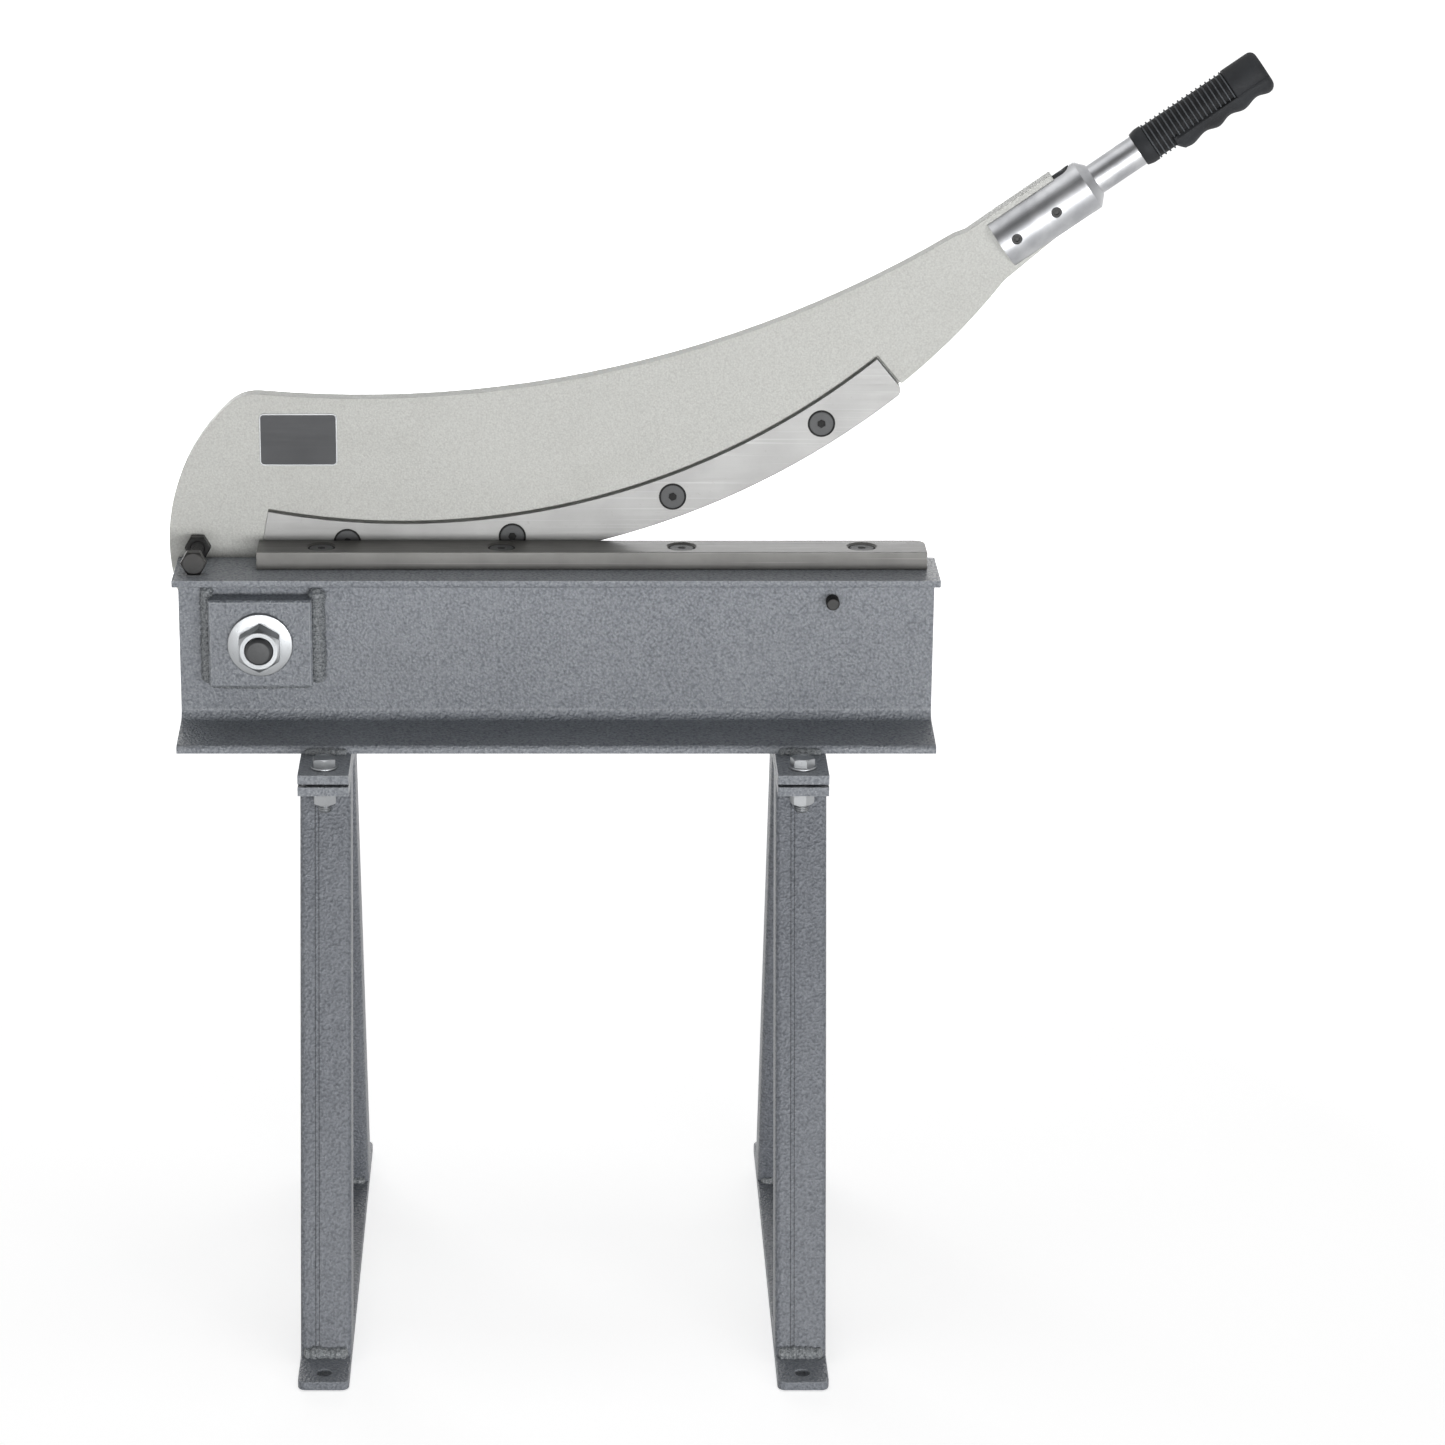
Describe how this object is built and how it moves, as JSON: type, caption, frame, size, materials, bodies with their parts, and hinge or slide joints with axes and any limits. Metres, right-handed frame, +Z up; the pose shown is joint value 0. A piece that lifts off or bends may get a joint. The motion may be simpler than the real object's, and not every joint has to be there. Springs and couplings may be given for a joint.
{
  "type": "manual guillotine shear",
  "caption": "Hand lever shear on two A-frame legs: a channel beam with a straight lower blade and a curved blade on a pivoting arm with a rod handle and rubber grip.",
  "frame": {"origin": "on the floor, in the middle of the four foot holes", "axes": "+Z up, +X along the beam towards the handle end, -Y towards the operator"},
  "size_m": [0.8148, 0.438, 0.9482],
  "materials": {
    "stand_paint": "satin hammered paint",
    "arm_paint": "fine textured paint",
    "upper_blade_steel": "ground",
    "lower_blade_steel": "ground, dull",
    "black_bolt": "black oxide",
    "zinc_bolt": "bright zinc",
    "handle_steel": "satin turned",
    "grip_rubber": "matt moulded"
  },
  "bodies": {
    "stand": {"beam_channel": "stand_paint", "lower_blade": "lower_blade_steel", "pivot_block": "stand_paint", "pivot_block_welds": "stand_paint", "pivot_bolt": "black_bolt", "pivot_washer": "zinc_bolt", "pivot_nut": "zinc_bolt", "lower_stop_bolt": "black_bolt", "bracket_plate_left": "stand_paint", "leg_top_plate_left": "stand_paint", "front_strut_left": "stand_paint", "rear_strut_left": "stand_paint", "floor_bar_left": "stand_paint", "bracket_plate_right": "stand_paint", "leg_top_plate_right": "stand_paint", "front_strut_right": "stand_paint", "rear_strut_right": "stand_paint", "floor_bar_right": "stand_paint", "leg_bolts": "zinc_bolt", "leg_bolt_nuts": "zinc_bolt", "plate_spacers": "stand_paint", "foot_welds": "stand_paint", "bracket_welds": "stand_paint"},
    "arm": {"arm_plate": "arm_paint", "upper_blade": "upper_blade_steel", "arm_stop_bolt": "black_bolt", "arm_stop_nut": "black_bolt", "handle_socket": "handle_steel", "handle_rod": "handle_steel", "handle_grip": "grip_rubber"}
  },
  "joints": [
    {"name": "arm_pivot", "type": "hinge", "parent": "stand", "child": "arm", "pos_m": [-0.2278, 0.031, 0.5075], "axis": [0, 1, 0], "range_deg": [0, 13.4]}
  ]
}
